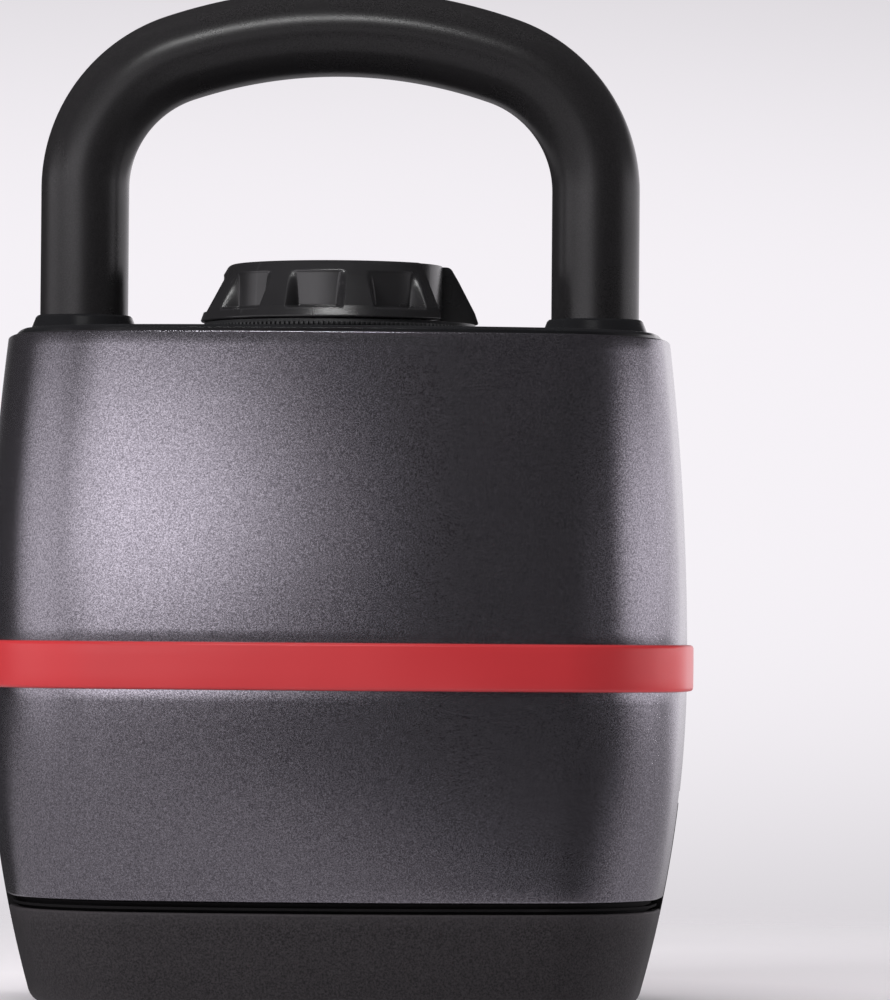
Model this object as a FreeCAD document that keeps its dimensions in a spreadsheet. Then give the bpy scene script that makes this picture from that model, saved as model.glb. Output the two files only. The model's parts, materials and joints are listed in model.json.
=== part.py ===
"""An adjustable kettlebell standing in its tray, as separate pieces.

A lidded bell hangs from a bent steel handle. Its dial turns a selector shaft whose lugs pick up
one more cast plate at every step. The plates that are not picked up stay in the tray. A sprung
rod inside the shaft stops the dial from turning while the bell is off the tray.

Millimetres. X is the width, Y the depth (the front faces -Y), Z is up. The origin is on the
ground, under the middle of the tray.
"""
import FreeCAD, Part
import Sketcher
import math
import os
import re

SIZES = {
    # Outer form: stacked ovals of eight tangent arcs, widest at the belly.
    "half_width": 109.3,
    "half_depth": 87.0,
    "side_radius": 237.0,
    "front_radius": 350.0,
    "corner_radius": 47.0,
    "belly_level": 106.0,
    "upper_sweep": 850.0,
    "lower_sweep": 374.0,
    "reach": 140.0,
    # Levels from the ground up.
    "tray_bottom": 1.5,
    "tray_floor": 6.5,
    "tray_edge": 31.7,
    "rim_low": 25.5,
    "rim_top": 34.8,
    "shell_bottom": 35.1,
    "flange_top": 38.1,
    "ear_top": 64.3,
    "ear_slot_top": 68.0,
    "band_low": 98.9,
    "band_high": 113.2,
    "lap_low": 96.0,
    "lap_high": 112.0,
    "deck_low": 199.0,
    "deck_high": 202.5,
    "shell_top": 207.0,
    "cover_top": 208.9,
    "cover_inside": 205.6,
    "carrier_low": 143.0,
    "carrier_high": 149.0,
    "apex": 304.2,
    # Walls and small gaps.
    "wall": 3.0,
    "gap": 0.3,
    "play": 0.05,
    "band_proud": 2.0,
    "band_groove": 1.0,
    "flange_depth": 8.0,
    "lap_depth": 5.5,
    "lip": 2.0,
    # Tray.
    "ear_half": 22.0,
    "foot_radius": 9.0,
    "foot_height": 3.0,
    "foot_x": 60.0,
    "foot_y": 38.0,
    "post_radius": 4.2,
    "post_top": 43.7,
    "post_flange": 16.0,
    "post_screw_circle": 11.0,
    # Handle.
    "tube_radius": 13.75,
    "tube_bore": 10.5,
    "leg_x": 80.0,
    "shoulder_radius": 43.3,
    "arch_radius": 157.0,
    "plug_height": 28.0,
    "collar_radius": 17.4,
    "collar_height": 5.8,
    # Carrier, standoffs and small fasteners.
    "carrier_x": 98.0,
    "carrier_y": 46.0,
    "carrier_corner": 20.0,
    "standoff_x": 45.0,
    "standoff_y": 32.0,
    "standoff_radius": 5.0,
    "cover_boss_x": 45.0,
    "cover_boss_y": 54.0,
    "boss_inset": 7.0,
    "boss_radius": 4.5,
    "boss_top": 150.0,
    "lug_radius": 3.8,
    # Plates.
    "plate_inset": 21.0,
    "plate_skin": 2.0,
    "plate_face": 1.2,
    "plate_gap": 0.6,
    "plate_hole": 22.0,
    "ledge_radius": 10.5,
    "ledge_height": 4.0,
    "ledge_opening": 18.0,
    "sleeve_bore": 18.5,
    "sleeve_radius": 21.4,
    "sleeve_top": 46.0,
    "plate_bottom": 7.0,
    "iron_1": 13.6,
    "iron_2": 27.2,
    "iron_3": 17.0,
    "iron_4": 34.0,
    "iron_5": 17.0,
    # Selector.
    "step_angle": 30.0,
    "rest_step": 2.0,
    "lug_half_angle": 11.0,
    "opening_margin": 13.0,
    "shaft_radius": 7.0,
    "shaft_bore": 4.6,
    "shaft_low": 34.5,
    "shaft_high": 222.0,
    "shaft_bore_top": 200.0,
    "hub_radius": 9.0,
    "lug_reach": 17.0,
    "disc_height": 4.0,
    "disc_gap": 0.5,
    "bush_low": 141.0,
    "wheel_low": 164.0,
    "wheel_high": 170.0,
    "wheel_radius": 22.0,
    "notch_depth": 2.4,
    "lock_ring_top": 156.3,
    "lock_ring_radius": 26.0,
    "lock_ring_bore": 13.0,
    "lock_slot_end": 19.0,
    "lock_screw_circle": 22.6,
    "pin_level": 158.8,
    "pin_radius": 2.0,
    "pin_half": 17.5,
    "lock_travel": 6.0,
    "detent_x": 33.4,
    "detent_y": 24.0,
    "detent_radius": 4.5,
    "leaf_thickness": 0.8,
    "rod_radius": 4.3,
    "rod_low": 44.0,
    "rod_high": 176.0,
    "spring_radius": 3.4,
    "spring_wire": 0.5,
    "spring_turns": 8.0,
    # Dial.
    "ring_top": 212.7,
    "dial_low": 213.0,
    "dial_high": 231.0,
    "dial_radius": 44.0,
    "dial_waist": 42.3,
    "dial_waist_level": 217.0,
    "dial_neck": 37.0,
    "dial_neck_level": 227.0,
    "dial_shoulder": 32.6,
    "dial_cavity": 27.0,
    "dial_hub": 13.0,
    "window_centre": 69.5,
    "window_half": 21.5,
    "window_wall": 32.0,
    "flute_first": 43.0,
    "flute_step": 37.5,
    "flute_width": 20.5,
    "flute_low": 217.7,
    "flute_high": 229.6,
    "flute_depth": 3.6,
    "flute_corner": 4.0,
    "cap_radius": 20.0,
    "cap_low": 229.3,
}

doc = FreeCAD.newDocument("adjustable_kettlebell")
sheet = doc.addObject("Spreadsheet::Sheet", "Sizes")
for row, (alias, number) in enumerate(SIZES.items(), start=1):
    sheet.set(f"A{row}", alias)
    sheet.set(f"B{row}", str(number))
    sheet.setAlias(f"B{row}", alias)
doc.recompute()

nodes = {}


# ---------------------------------------------------------------- sheet and placing

def linked(text):
    """An expression in which every size's name points at its cell of the sheet."""
    def cell(match):
        word = match.group(0)
        return "Sizes." + word if word in SIZES else word
    return re.sub(r"[a-z][a-z_0-9]*", cell, str(text))


def size(text):
    """The value of an expression in the sheet's sizes."""
    return float(sheet.evalExpression(linked(text)))


def bind(thing, **properties):
    for name, text in properties.items():
        thing.setExpression(name, linked(text))
    return thing


def at(thing, x="0", y="0", z="0"):
    for axis, text in zip("xyz", (x, y, z)):
        thing.setExpression("Placement.Base." + axis, linked(text))
    return thing


def node(name, thing):
    """Marks an object as a finished piece, which is exported under its name."""
    thing.Label = name
    nodes[name] = thing
    return thing


def unnamed(kind):
    """A helper object: FreeCAD adds a number to keep its name unique."""
    return doc.addObject(kind, kind.split("::")[1].lower() + "_step")


def four(x, y):
    """The four spots that mirror one spot in both planes."""
    return [(f"{a}({x})", f"{b}({y})") for a in ("", "-") for b in ("", "-")]


def ring_of(count, radius, first=0.0):
    """Spots evenly spaced on a circle."""
    spots = []
    for number in range(count):
        angle = math.radians(first + 360.0 * number / count)
        spots.append((f"{radius} * {math.cos(angle):.6f}", f"{radius} * {math.sin(angle):.6f}"))
    return spots


# ---------------------------------------------------------------- solids

def rod(radius, low, high, x="0", y="0"):
    piece = bind(unnamed("Part::Cylinder"), Radius=radius, Height=f"({high}) - ({low})")
    return at(piece, x, y, low)


def sector(radius, low, high, start, sweep):
    """A pie slice about Z from the start angle, counter-clockwise, in degrees."""
    piece = bind(unnamed("Part::Cylinder"), Radius=radius, Height=f"({high}) - ({low})")
    piece.Angle = sweep
    turn = FreeCAD.Rotation(FreeCAD.Vector(0, 0, 1), start)
    piece.Placement = FreeCAD.Placement(FreeCAD.Vector(), turn)
    piece.setExpression("Placement.Base.z", linked(low))
    return piece


def block(x_half, y_half, low, high, x="0", y="0"):
    piece = bind(unnamed("Part::Box"), Length=f"2 * ({x_half})", Width=f"2 * ({y_half})",
                 Height=f"({high}) - ({low})")
    return at(piece, f"({x}) - ({x_half})", f"({y}) - ({y_half})", low)


def slab(low, high):
    """All of space between two levels."""
    return block("reach", "reach", low, high)


def fuse(*pieces):
    joined = unnamed("Part::MultiFuse")
    joined.Shapes = list(pieces)
    return joined


def common(first, second):
    shared = unnamed("Part::MultiCommon")
    shared.Shapes = [first, second]
    return shared


def cut(base, *tools):
    rest = unnamed("Part::Cut")
    rest.Base = base
    rest.Tool = tools[0] if len(tools) == 1 else fuse(*tools)
    return rest


def group(pieces):
    together = unnamed("Part::Compound")
    together.Links = list(pieces)
    return together


def fixed_shape(shape):
    """A piece whose shape needs Part's own functions."""
    piece = unnamed("Part::Feature")
    piece.Shape = shape
    return piece


def plane_of(body, role):
    return next(item for item in body.Origin.OriginFeatures if item.Role == role)


def sketch_on(body, name, role):
    sketch = body.newObject("Sketcher::SketchObject", name)
    sketch.AttachmentSupport = [(plane_of(body, role), "")]
    sketch.MapMode = "FlatFace"
    return sketch


def fix_point(sketch, geometry, end, x, y):
    """Ties one end of a sketch element to the sheet, by its distances from the origin."""
    for kind, text, axis in (("DistanceX", x, -2), ("DistanceY", y, -1)):
        number = size(text)
        if abs(number) < 1e-9:
            sketch.addConstraint(Sketcher.Constraint("PointOnObject", geometry, end, axis))
        elif number > 0:
            index = sketch.addConstraint(Sketcher.Constraint(kind, -1, 1, geometry, end, number))
            sketch.setExpression(f"Constraints[{index}]", linked(text))
        else:
            index = sketch.addConstraint(Sketcher.Constraint(kind, geometry, end, -1, 1, -number))
            sketch.setExpression(f"Constraints[{index}]", linked(f"-({text})"))


def outline(sketch, corners):
    """A closed outline of straight lines, each corner tied to the sheet."""
    points = [FreeCAD.Vector(size(x), size(y), 0) for x, y in corners]
    for start, end in zip(points, points[1:] + points[:1]):
        sketch.addGeometry(Part.LineSegment(start, end), False)
    for line in range(len(points)):
        following = (line + 1) % len(points)
        sketch.addConstraint(Sketcher.Constraint("Coincident", line, 2, following, 1))
    for line, (x, y) in enumerate(corners):
        fix_point(sketch, line, 1, x, y)


def turned(name, profile):
    """A body whose closed profile of (radius, level) corners turns once about Z."""
    body = doc.addObject("PartDesign::Body", name + "_body")
    sketch = sketch_on(body, name + "_profile", "XZ_Plane")
    outline(sketch, profile)
    doc.recompute()
    turn = body.newObject("PartDesign::Revolution", name + "_turn")
    turn.Profile = sketch
    turn.ReferenceAxis = (sketch, ["V_Axis"])
    turn.Angle = 360
    body.Tip = turn
    return body


def bored(name, outer, bore, low, high):
    """A plain turned ring."""
    return turned(name, [(bore, low), (outer, low), (outer, high), (bore, high)])


def screw(x, y, seat, length, shank, head, head_height, up=True, sides=0):
    """A screw along Z. Its shank leaves the seat upwards, or downwards."""
    if up:
        low, high, head_low = seat, f"{seat} + {length}", f"{seat} - {head_height}"
    else:
        low, high, head_low = f"{seat} - {length}", seat, seat
    shaft = rod(shank, low, high, x, y)
    if sides:
        top = bind(unnamed("Part::Prism"), Circumradius=head, Height=head_height)
        top.Polygon = sides
        at(top, x, y, head_low)
    else:
        top = rod(head, head_low, f"{head_low} + {head_height}", x, y)
    return fuse(shaft, top)


def screws(spots, *sizes, **options):
    return group([screw(x, y, *sizes, **options) for x, y in spots])


# ---------------------------------------------------------------- the outer form

def half_width_at(level):
    """The form's half width, from a flat arc above the belly and a rounder one below it."""
    rise = level - size("belly_level")
    sweep = size("upper_sweep") if rise > 0 else size("lower_sweep")
    return size("half_width") - (sweep - math.sqrt(sweep * sweep - rise * rise))


def oval_parts(half_width, offset):
    """Half sizes, radii and corner centre of the oval of eight tangent arcs."""
    scale = half_width / size("half_width")
    a = half_width + offset
    b = size("half_depth") * scale + offset
    side = size("side_radius") * scale + offset
    front = size("front_radius") * scale + offset
    corner = size("corner_radius") * scale + offset
    side_x, front_y = a - side, b - front
    to_side, to_front = side - corner, front - corner
    span = math.hypot(side_x, front_y)
    along = (to_side ** 2 - to_front ** 2 + span ** 2) / (2 * span)
    across = math.sqrt(to_side ** 2 - along ** 2)
    ex, ey = -side_x / span, front_y / span
    centre = (side_x + along * ex - across * ey, along * ey + across * ex)
    return a, b, corner, (side_x, 0.0), (0.0, front_y), side, front, centre


def oval_wire(half_width, offset, level):
    a, b, corner, side_centre, front_centre, side, front, centre = oval_parts(half_width, offset)
    low = math.atan2(centre[1], centre[0] - side_centre[0])
    high = math.atan2(centre[1] - front_centre[1], centre[0])

    def spot(middle, radius, angle, sx=1, sy=1):
        return FreeCAD.Vector(sx * (middle[0] + radius * math.cos(angle)),
                              sy * (middle[1] + radius * math.sin(angle)), level)

    def corner_arc(sx, sy, first, last):
        return Part.Arc(spot(centre, corner, first, sx, sy),
                        spot(centre, corner, (first + last) / 2, sx, sy),
                        spot(centre, corner, last, sx, sy))

    def side_arc(sx):
        return Part.Arc(spot(centre, corner, low, sx, -sx), FreeCAD.Vector(sx * a, 0, level),
                        spot(centre, corner, low, sx, sx))

    def front_arc(sy):
        return Part.Arc(spot(centre, corner, high, sy, sy), FreeCAD.Vector(0, sy * b, level),
                        spot(centre, corner, high, -sy, sy))

    arcs = [side_arc(1), corner_arc(1, 1, low, high), front_arc(1), corner_arc(-1, 1, high, low),
            side_arc(-1), corner_arc(-1, -1, low, high), front_arc(-1),
            corner_arc(1, -1, high, low)]
    return Part.Wire([arc.toShape() for arc in arcs])


FORM_LEVELS = (-6, 8, 22, 38, 58, 82, 106, 132, 160, 188, 216)
forms = {}


def form(offset):
    """The whole form, grown or shrunk by an offset, as a solid from below ground to the top."""
    if offset not in forms:
        wires = [oval_wire(half_width_at(level), size(offset), level) for level in FORM_LEVELS]
        forms[offset] = fixed_shape(Part.makeLoft(wires, True, False))
    return forms[offset]


def hoop(outer, inner, low, high):
    """The form's wall between two offsets and two levels."""
    return common(cut(form(outer), form(inner)), slab(low, high))


def layer(offset, low, high):
    """The form between two levels, solid."""
    return common(form(offset), slab(low, high))


def prism(offset, low, high):
    """An upright block with the belly's outline."""
    face = Part.Face(oval_wire(size("half_width"), size(offset), size(low)))
    return fixed_shape(face.extrude(FreeCAD.Vector(0, 0, size(high) - size(low))))


def corner_spots(inset):
    """The four spots inside the form's rounded corners, at the belly."""
    _, _, corner, side_centre, front_centre, _, _, centre = oval_parts(size("half_width"), 0.0)
    low = math.atan2(centre[1], centre[0] - side_centre[0])
    high = math.atan2(centre[1] - front_centre[1], centre[0])
    reach = corner - size(inset)
    x = centre[0] + reach * math.cos((low + high) / 2)
    y = centre[1] + reach * math.sin((low + high) / 2)
    return four(f"{x:.4f}", f"{y:.4f}")


def ear_blocks(half, low, high):
    """One upright block on each side of the form, where the tray's ears stand."""
    return fuse(*[block("reach / 2", half, low, high, x=f"{sign}reach")
                  for sign in ("", "-")])


# ---------------------------------------------------------------- tray

def make_tray():
    wall = cut(form("0"), form("-wall"))
    wall = common(wall, fuse(slab("tray_bottom", "tray_edge"),
                             ear_blocks("ear_half", "tray_floor", "ear_top")))
    tray = fuse(wall, layer("-wall / 3", "tray_bottom", "tray_floor"))
    holes = [rod("foot_radius + play", "tray_bottom", "foot_height", x, y)
             for x, y in four("foot_x", "foot_y")]
    for x, y in ring_of(3, "post_screw_circle", 90):
        holes.append(rod("1.8", "0", "tray_floor + 1", x, y))
        holes.append(rod("3.5", "0", "tray_bottom + 2.4", x, y))
    node("base_tray", cut(tray, *holes))


def make_rim():
    ring = hoop("-wall - gap", "-flange_depth", "rim_low", "rim_top")
    bead = hoop("-wall / 2", "-wall - 1", "tray_edge + 0.9", "tray_edge + 1.7")
    clear = ear_blocks("ear_half + gap", "rim_low - 1", "ear_top")
    node("base_rim", fuse(ring, cut(bead, clear)))


def make_tray_fittings():
    feet = []
    for x, y in four("foot_x", "foot_y"):
        feet.append(rod("foot_radius", "0", "foot_height", x, y))
    node("rubber_feet", group(feet))
    post = turned("unlock_post", [
        ("0", "tray_floor"), ("post_flange", "tray_floor"), ("post_flange", "tray_floor + 3"),
        ("post_radius + 4", "tray_floor + 4.5"), ("post_radius", "tray_floor + 14"),
        ("post_radius", "post_top - 1"), ("post_radius - 1", "post_top"), ("0", "post_top")])
    threads = [rod("1.6", "tray_floor", "tray_floor + 2.4", x, y)
               for x, y in ring_of(3, "post_screw_circle", 90)]
    node("unlock_post", cut(post, *threads))
    node("post_screws", screws(ring_of(3, "post_screw_circle", 90), "tray_bottom + 2.4",
                               "4.9", "1.5", "3.2", "2"))


# ---------------------------------------------------------------- plates

def plate_levels():
    """Bottom and top level of every plate, numbered from the top one down."""
    levels, bottom = {}, "plate_bottom"
    for number in (5, 4, 3, 2, 1):
        top = f"{bottom} + iron_{number} + 2 * plate_face"
        levels[number] = (bottom, top)
        bottom = f"{top} + plate_gap"
    return levels


PLATE_LEVELS = plate_levels()


def ledge_top(number):
    """Top of the ledge that the selector lifts. The lowest plate holds it up on a sleeve."""
    if number == 5:
        return "sleeve_top"
    return f"{PLATE_LEVELS[number][1]} - plate_face"


def ledge_openings(number):
    """Two slices, opposite each other, through which lugs pass while the plate stays behind."""
    passing = size("step_angle") * (number - 1)
    start = 90.0 - passing - size("opening_margin")
    sweep = passing + 2 * size("opening_margin")
    top = ledge_top(number)
    return [sector("ledge_opening", f"{top} - ledge_height - 1", f"{top} + 1", start + half, sweep)
            for half in (0.0, 180.0)]


def make_plate(number):
    bottom, top = PLATE_LEVELS[number]
    iron_low, iron_high = f"{bottom} + plate_face", f"{top} - plate_face"
    iron = prism("-plate_inset - plate_skin", iron_low, iron_high)
    hole = rod("plate_hole", f"{bottom} - 1", f"{top} + 1")
    ledge = cut(rod("plate_hole + 1", f"{ledge_top(number)} - ledge_height", ledge_top(number)),
                rod("ledge_radius", "0", "200"), *ledge_openings(number))
    pieces = [cut(iron, hole)]
    if number == 5:
        sleeve = cut(rod("sleeve_radius", iron_low, "sleeve_top"),
                     rod("sleeve_bore", "0", "sleeve_top - ledge_height"),
                     rod("ledge_radius", "0", "200"), *ledge_openings(number))
        foot = cut(rod("plate_hole + 1", iron_low, iron_high), rod("sleeve_bore", "0", "200"))
        pieces += [sleeve, foot]
    else:
        pieces.append(ledge)
    node(f"plate_{number}_core", fuse(*pieces))
    skin = cut(prism("-plate_inset", bottom, top),
               prism("-plate_inset - plate_skin", iron_low, iron_high), hole)
    node(f"plate_{number}_cover", skin)


# ---------------------------------------------------------------- bell

def make_lower_shell():
    groove = hoop("wall", "-band_groove", "band_low", "band_high")
    wall = hoop("0", "-wall", "shell_bottom", "belly_level")
    flange = hoop("-wall / 3", "-flange_depth", "shell_bottom", "flange_top")
    seat = hoop("-wall + 0.2", "-lap_depth", "lap_low", "belly_level - play")
    lap = hoop("-wall - 0.15", "-lap_depth", "belly_level - 1", "lap_high")
    lugs = [rod("lug_radius", "lap_high - 8", "lap_high", x, y)
            for x, y in corner_spots("boss_inset")]
    slots = common(cut(form("wall"), form("-wall - gap")),
                   ear_blocks("ear_half + gap", "0", "ear_slot_top"))
    holes = [rod("1.8", "lap_high - 9", "lap_high + 1", x, y)
             for x, y in corner_spots("boss_inset")]
    holes += [rod("lug_radius", "lap_low - 1", "lap_high - 8", x, y)
              for x, y in corner_spots("boss_inset")]
    shell = fuse(cut(wall, groove), flange, seat, lap, *lugs)
    node("lower_shell", cut(shell, slots, *holes))


def make_upper_shell():
    groove = hoop("wall", "-band_groove", "band_low", "band_high")
    wall = hoop("0", "-wall", "belly_level", "shell_top")
    lip = layer("-lip", "deck_high", "shell_top + 1")
    deck = layer("-wall / 3", "deck_low", "deck_high")
    bosses = [rod("boss_radius", "lap_high + gap", "boss_top", x, y)
              for x, y in corner_spots("boss_inset")]
    bosses = common(fuse(*bosses), form("-wall / 3"))
    holes = [rod("1.5", "lap_high", "lap_high + 18", x, y) for x, y in corner_spots("boss_inset")]
    holes += [rod("tube_radius + gap", "deck_low - 1", "deck_high + 1", x)
              for x in ("leg_x", "-leg_x")]
    holes.append(rod("hub_radius + 3", "deck_low - 1", "deck_high + 1"))
    holes += [rod("2.7", "deck_low - 1", "deck_high + 1", x, y)
              for x, y in four("standoff_x", "standoff_y")]
    holes += [rod("1.5", "deck_low - 1", "deck_high + 1", x, y)
              for x, y in four("cover_boss_x", "cover_boss_y")]
    shell = fuse(cut(wall, groove, lip), deck, bosses)
    node("upper_shell", cut(shell, *holes))


def make_band():
    node("bumper_band", hoop("band_proud", "-band_groove + 0.1", "band_low", "band_high"))


def make_top_cover():
    plate = layer("-lip - gap", "deck_high", "cover_top")
    hollow = layer("-lip - gap - wall", "deck_high - 1", "cover_inside")
    bosses = [rod("4", "deck_high", "cover_inside + 1", x, y)
              for x, y in four("cover_boss_x", "cover_boss_y")]
    holes = [rod("tube_radius + gap", "deck_high - 1", "cover_top + 1", x)
             for x in ("leg_x", "-leg_x")]
    holes.append(rod("hub_radius", "deck_high - 1", "cover_top + 1"))
    holes += [rod("1.3", "deck_high - 1", "cover_top - 1", x, y)
              for x, y in four("cover_boss_x", "cover_boss_y")]
    node("top_cover", cut(fuse(cut(plate, hollow), *bosses), *holes))


def make_shell_fasteners():
    node("shell_screws", screws(corner_spots("boss_inset"), "lap_high - 8", "20", "1.4", "3.2", "3"))
    node("cover_screws", screws(four("cover_boss_x", "cover_boss_y"), "deck_low", "7.5", "1.2",
                                "3", "2.2"))
    node("deck_screws", screws(four("standoff_x", "standoff_y"), "deck_high", "14", "2.4", "4.6",
                               "2.4", up=False))
    node("standoff_bolts", screws(four("standoff_x", "standoff_y"), "carrier_low", "16", "2.4",
                                  "4.6", "3.2", sides=6))


def make_handle():
    """The bent tube, its plugs, bolts, washers and the collars on the cover."""
    lean = math.asin((size("leg_x") - size("shoulder_radius"))
                     / (size("arch_radius") - size("shoulder_radius")))
    centre_z = size("apex - arch_radius")
    bend_z = centre_z + size("arch_radius - shoulder_radius") * math.cos(lean)
    shoulder_x = size("leg_x - shoulder_radius")
    leg_x, foot_z = size("leg_x"), size("carrier_high")
    body = doc.addObject("PartDesign::Body", "handle_body")
    path = sketch_on(body, "handle_path", "XZ_Plane")
    up = FreeCAD.Vector(0, 0, 1)

    def bend(x, z, radius, first, last):
        circle = Part.Circle(FreeCAD.Vector(x, z, 0), up, radius)
        return Part.ArcOfCircle(circle, first, last)

    upright = math.pi / 2
    path.addGeometry([
        Part.LineSegment(FreeCAD.Vector(-leg_x, foot_z, 0), FreeCAD.Vector(-leg_x, bend_z, 0)),
        bend(-shoulder_x, bend_z, size("shoulder_radius"), upright + lean, math.pi),
        bend(0, centre_z, size("arch_radius"), upright - lean, upright + lean),
        bend(shoulder_x, bend_z, size("shoulder_radius"), 0, upright - lean),
        Part.LineSegment(FreeCAD.Vector(leg_x, bend_z, 0), FreeCAD.Vector(leg_x, foot_z, 0))],
        False)
    for first, first_end, second, second_end in ((0, 2, 1, 2), (1, 1, 2, 2), (2, 1, 3, 2),
                                                 (3, 1, 4, 1)):
        path.addConstraint(Sketcher.Constraint("Tangent", first, first_end, second, second_end))
    fix_point(path, 0, 1, "-leg_x", "carrier_high")
    fix_point(path, 4, 2, "leg_x", "carrier_high")
    fix_point(path, 2, 3, "0", "apex - arch_radius")
    for line in (0, 4):
        path.addConstraint(Sketcher.Constraint("Vertical", line))
    for arc, text in ((1, "shoulder_radius"), (2, "arch_radius")):
        index = path.addConstraint(Sketcher.Constraint("Radius", arc, size(text)))
        path.setExpression(f"Constraints[{index}]", linked(text))
    section = sketch_on(body, "handle_section", "XY_Plane")
    section.setExpression("AttachmentOffset.Base.z", linked("carrier_high"))
    for number, text in enumerate(("tube_radius", "tube_bore")):
        circle = Part.Circle(FreeCAD.Vector(-leg_x, 0, 0), up, size(text))
        section.addGeometry(circle, False)
        fix_point(section, number, 3, "-leg_x", "0")
        index = section.addConstraint(Sketcher.Constraint("Radius", number, size(text)))
        section.setExpression(f"Constraints[{index}]", linked(text))
    doc.recompute()
    pipe = body.newObject("PartDesign::AdditivePipe", "handle_pipe")
    pipe.Profile = section
    pipe.Spine = (path, [])
    body.Tip = pipe
    node("handle_tube", body)

    legs = ("-leg_x", "leg_x")
    plugs = [cut(rod("tube_bore - play", "carrier_high", "carrier_high + plug_height", x),
                 rod("5", "carrier_high", "carrier_high + plug_height - 4", x)) for x in legs]
    node("tube_plugs", group(plugs))
    node("handle_bolts", screws([(x, "0") for x in legs], "carrier_low - 2", "30", "4.9", "8.6",
                                "4.6", sides=6))
    washers = [cut(rod("11", "carrier_low - 2", "carrier_low", x),
                   rod("5.4", "carrier_low - 2", "carrier_low", x)) for x in legs]
    node("handle_washers", group(washers))
    for name, x in (("left_collar", "-leg_x"), ("right_collar", "leg_x")):
        collar = turned(name, [
            ("tube_radius + gap", "cover_top"), ("collar_radius", "cover_top"),
            ("collar_radius", "cover_top + 0.9"), ("collar_radius - 0.8", "cover_top + 1.6"),
            ("tube_radius + 1.2", "cover_top + collar_height - 0.5"),
            ("tube_radius + 0.8", "cover_top + collar_height"),
            ("tube_radius + gap", "cover_top + collar_height")])
        node(name, at(collar, x))


def make_carrier():
    corner = "carrier_corner"
    plate = fuse(block(f"carrier_x - {corner}", "carrier_y", "carrier_low", "carrier_high"),
                 block("carrier_x", f"carrier_y - {corner}", "carrier_low", "carrier_high"),
                 *[rod(corner, "carrier_low", "carrier_high", x, y)
                   for x, y in four(f"carrier_x - {corner}", f"carrier_y - {corner}")])
    spots = [("5.4", x, "0") for x in ("-leg_x", "leg_x")]
    spots += [("2.6", x, y) for x, y in four("standoff_x", "standoff_y")]
    spots += [("1.7", x, y) for x, y in ring_of(3, "lock_screw_circle", 90)]
    spots.append(("2.5", "-detent_x", "detent_y"))
    spots.append(("hub_radius + 1", "0", "0"))
    holes = [rod(radius, "carrier_low - 1", "carrier_high + 1", x, y) for radius, x, y in spots]
    node("carrier_plate", cut(plate, *holes))
    posts = [cut(rod("standoff_radius", "carrier_high", "deck_low", x, y),
                 rod("2.45", "carrier_high", "carrier_high + 12", x, y),
                 rod("2.45", "deck_low - 12", "deck_low", x, y))
             for x, y in four("standoff_x", "standoff_y")]
    node("standoffs", group(posts))


# ---------------------------------------------------------------- selector and lock

def make_bushes():
    bore = "shaft_radius + play"
    node("lower_bush", turned("lower_bush", [
        (bore, "bush_low"), ("hub_radius + 1 - play", "bush_low"),
        ("hub_radius + 1 - play", "carrier_high"), ("hub_radius + 3", "carrier_high"),
        ("hub_radius + 3", "carrier_high + 1.2"), (bore, "carrier_high + 1.2")]))
    node("upper_bush", turned("upper_bush", [
        (bore, "deck_low - 2"), ("hub_radius + 3 - play", "deck_low - 2"),
        ("hub_radius + 3 - play", "deck_high"), ("hub_radius + 6", "deck_high"),
        ("hub_radius + 6", "deck_high + 1.5"), (bore, "deck_high + 1.5")]))


def make_shaft():
    tube = turned("selector_shaft", [
        ("shaft_bore", "shaft_low"), ("shaft_radius", "shaft_low"), ("shaft_radius", "shaft_high"),
        ("1.8", "shaft_high"), ("1.8", "shaft_bore_top + 5"), ("0", "shaft_bore_top + 5"),
        ("0", "shaft_bore_top"), ("shaft_bore", "shaft_bore_top")])
    slot = block("shaft_radius + 2", "pin_radius + 0.2", "pin_level - lock_travel - pin_radius - 0.2",
                 "pin_level + pin_radius + 0.2")
    node("selector_shaft", cut(tube, slot))


def disc_top(number):
    return f"{ledge_top(number)} - ledge_height - disc_gap"


def make_discs():
    angle = 90.0 - size("step_angle * rest_step")
    half = size("lug_half_angle")
    for number in range(1, 6):
        low, high = f"{disc_top(number)} - disc_height", disc_top(number)
        lugs = [sector("lug_reach", low, high, angle - half + turn, 2 * half)
                for turn in (0.0, 180.0)]
        disc = cut(fuse(rod("hub_radius", low, high), *lugs),
                   rod("shaft_radius + play / 2", f"{low} - 1", f"{high} + 1"))
        node(f"selector_disc_{number}", disc)
    ends = ["bush_low - gap"]
    spacers = []
    for number in range(1, 6):
        spacers.append(cut(rod("hub_radius - 0.5", disc_top(number), ends[-1]),
                           rod("shaft_radius + play / 2", "shaft_low", "bush_low")))
        ends.append(f"{disc_top(number)} - disc_height")
    node("disc_spacers", group(spacers))
    clip_top = ends[-1]
    clip = cut(rod("shaft_radius + 2.4", f"{clip_top} - 1.2", clip_top),
               rod("shaft_radius + play / 2", f"{clip_top} - 2", f"{clip_top} + 1"),
               sector("reach", f"{clip_top} - 2", f"{clip_top} + 1", -50, 100))
    node("shaft_clip", clip)


def notch(radius, depth, low, high, angle):
    """A vee across the rim of a wheel, pointing at its centre."""
    half = math.radians(6.0)
    tip = radius - depth
    corners = [(tip * math.cos(angle), tip * math.sin(angle))]
    corners += [((radius + 1) * math.cos(angle + side), (radius + 1) * math.sin(angle + side))
                for side in (-half, half)]
    points = [FreeCAD.Vector(x, y, size(low)) for x, y in corners]
    face = Part.Face(Part.makePolygon(points + points[:1]))
    return face.extrude(FreeCAD.Vector(0, 0, size(f"({high}) - ({low})")))


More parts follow.
